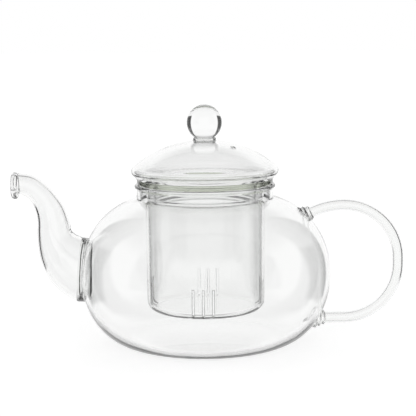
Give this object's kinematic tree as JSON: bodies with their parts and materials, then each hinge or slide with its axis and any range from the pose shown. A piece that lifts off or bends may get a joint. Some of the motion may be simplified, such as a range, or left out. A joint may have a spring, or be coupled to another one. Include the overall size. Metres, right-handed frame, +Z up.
{
  "type": "glass teapot",
  "caption": "Clear glass teapot with a round blown bowl, curved spout, loop handle, lift-out slitted infuser cup and domed lid with a ball knob.",
  "frame": {"origin": "centre of the flat base, on the bowl's axis, at the level the pot stands on", "axes": "+Z up along the bowl's axis, +X from the axis towards the handle, -X towards the spout, +Y to the pot's back"},
  "size_m": [0.2319, 0.1486, 0.1418],
  "materials": {
    "blown_glass": "clear blown borosilicate wall, fire polished",
    "rod_glass": "clear drawn tube and solid ball, fire polished",
    "weld_glass": "flame-worked weld with squeezed ribs",
    "rim_glass": "thick rolled ring, grey green through its width"
  },
  "bodies": {
    "pot": {"bowl": "blown_glass", "mouth_rim": "blown_glass", "spout": "blown_glass", "spout_lip": "blown_glass", "spout_weld": "weld_glass", "handle": "rod_glass", "handle_upper_weld": "weld_glass", "handle_lower_weld": "weld_glass"},
    "infuser": {"infuser_cup": "blown_glass", "infuser_flange": "rim_glass"},
    "lid": {"lid_dome": "blown_glass", "lid_skirt": "blown_glass", "knob_stem": "rod_glass", "knob_ball": "rod_glass"}
  },
  "joints": [
    {"name": "infuser_lift", "type": "slide", "parent": "pot", "child": "infuser", "axis": [0, 0, 1], "range_m": [0, 0.085]},
    {"name": "lid_lift", "type": "slide", "parent": "infuser", "child": "lid", "axis": [0, 0, 1], "range_m": [0, 0.045]}
  ]
}
